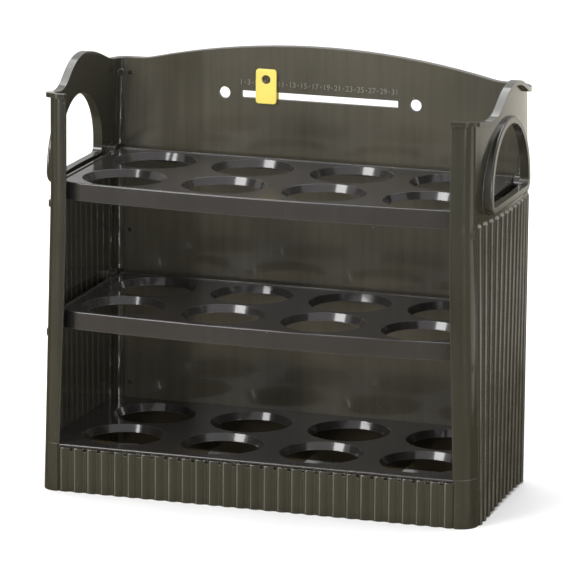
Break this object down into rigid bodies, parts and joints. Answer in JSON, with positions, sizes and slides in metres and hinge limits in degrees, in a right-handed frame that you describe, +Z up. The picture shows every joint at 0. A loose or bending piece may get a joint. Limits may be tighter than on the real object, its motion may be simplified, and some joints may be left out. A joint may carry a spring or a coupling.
{
  "type": "egg rack",
  "caption": "Open-front plastic egg rack with a reeded plinth, bottom deck, flip-up egg trays, arched side handles, a hanging back and a date slider.",
  "frame": {"origin": "on the standing surface, at the middle of the rack's footprint", "axes": "+Z up, -Y towards the open front, +X to the right when facing the front"},
  "size_m": [0.2136, 0.1002, 0.1987],
  "materials": {
    "rack_plastic": "glossy moulded polypropylene, dark olive grey",
    "tray_plastic": "glossy moulded polypropylene, dark olive grey",
    "slider_plastic": "satin yellow moulded plastic"
  },
  "bodies": {
    "rack": {"plinth": "rack_plastic", "bottom_deck": "tray_plastic", "left_side_panel": "rack_plastic", "right_side_panel": "rack_plastic", "back_panel": "rack_plastic"},
    "middle_tray": {"middle_tray": "tray_plastic"},
    "top_tray": {"top_tray": "tray_plastic"},
    "date_slider": {"date_slider": "slider_plastic"}
  },
  "joints": [
    {"name": "top_tray_flip", "type": "hinge", "parent": "rack", "child": "top_tray", "pos_m": [0, 0.0395, 0.1417], "axis": [-1, 0, 0], "range_deg": [0, 90]},
    {"name": "middle_tray_flip", "type": "hinge", "parent": "rack", "child": "middle_tray", "pos_m": [0, 0.0395, 0.081], "axis": [-1, 0, 0], "range_deg": [0, 79]},
    {"name": "date_slide", "type": "slide", "parent": "rack", "child": "date_slider", "axis": [1, 0, 0], "range_m": [-0.009, 0.061]}
  ],
  "couplings": [
    {"joint": "middle_tray_flip", "follows": "top_tray_flip", "ratio": 0.87}
  ]
}
